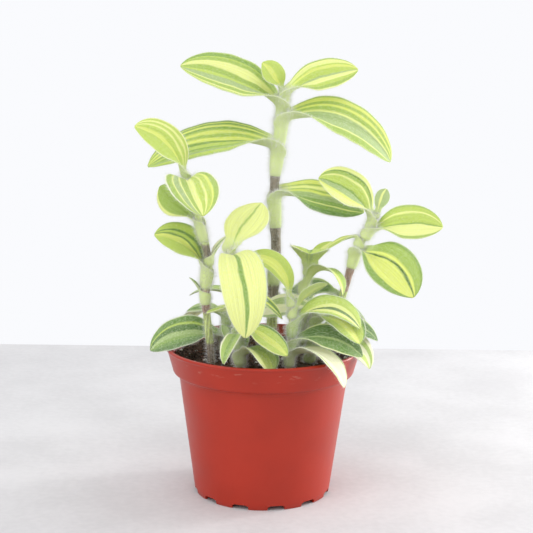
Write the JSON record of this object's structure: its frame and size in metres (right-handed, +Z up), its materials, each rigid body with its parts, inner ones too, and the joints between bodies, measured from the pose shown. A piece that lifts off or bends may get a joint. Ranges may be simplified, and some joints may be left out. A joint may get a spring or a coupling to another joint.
{
  "type": "potted tradescantia",
  "caption": "House plant with striped, velvety leaves whose sheaths clasp upright stems, growing from soil in a red plastic nursery pot that stands on a flat foot.",
  "frame": {"origin": "on the surface that the pot stands on, under the middle of the whole plant's footprint", "axes": "+Z up along the stems, +X to the right of the plant's front, -Y towards the viewer of its front"},
  "size_m": [0.1601, 0.1324, 0.2348],
  "materials": {
    "pot": "satin",
    "soil": "matte",
    "stem_brown": "matte",
    "stem_green": "matte",
    "stem_pale": "matte",
    "leaf_green": "matte",
    "leaf_dark": "matte",
    "leaf_lime": "matte",
    "leaf_yellow": "matte",
    "leaf_cream": "matte"
  },
  "bodies": {
    "root": {"pot": "pot", "soil": "soil", "stem_tall": "stem_brown", "stem_left": "stem_brown", "stem_right": "stem_brown", "stem_front": "stem_pale", "stem_yellow": "stem_pale", "stem_side": "stem_green", "stem_low_left": "stem_green", "stem_low_right": "stem_green", "stem_back_left": "stem_green", "stem_back_right": "stem_green", "leaf_tall_1": "leaf_green", "leaf_tall_2": "leaf_green", "leaf_tall_3": "leaf_lime", "leaf_tall_4": "leaf_green", "leaf_tall_5": "leaf_green", "leaf_tall_6": "leaf_green", "leaf_tall_7": "leaf_dark", "leaf_left_1": "leaf_green", "leaf_left_2": "leaf_green", "leaf_left_3": "leaf_green", "leaf_left_4": "leaf_green", "leaf_left_5": "leaf_cream", "leaf_left_6": "leaf_lime", "leaf_low_left_1": "leaf_green", "leaf_low_left_2": "leaf_green", "leaf_low_left_3": "leaf_green", "leaf_low_left_4": "leaf_dark", "leaf_yellow_1": "leaf_yellow", "leaf_yellow_2": "leaf_yellow", "leaf_yellow_3": "leaf_lime", "leaf_yellow_4": "leaf_green", "leaf_yellow_5": "leaf_green", "leaf_yellow_6": "leaf_lime", "leaf_yellow_7": "leaf_green", "leaf_front_1": "leaf_lime", "leaf_front_2": "leaf_lime", "leaf_front_3": "leaf_green", "leaf_front_4": "leaf_cream", "leaf_front_5": "leaf_dark", "leaf_right_1": "leaf_green", "leaf_right_2": "leaf_green", "leaf_right_3": "leaf_green", "leaf_right_4": "leaf_green", "leaf_right_5": "leaf_lime", "leaf_right_6": "leaf_dark", "leaf_side_1": "leaf_green", "leaf_side_2": "leaf_green", "leaf_side_3": "leaf_green", "leaf_low_right_1": "leaf_lime", "leaf_low_right_2": "leaf_dark", "leaf_low_right_3": "leaf_cream", "leaf_low_right_4": "leaf_cream", "leaf_back_left_1": "leaf_green", "leaf_back_left_2": "leaf_green", "leaf_back_left_3": "leaf_green", "leaf_back_right_1": "leaf_green", "leaf_back_right_2": "leaf_green", "leaf_back_right_3": "leaf_green"}
  },
  "joints": []
}
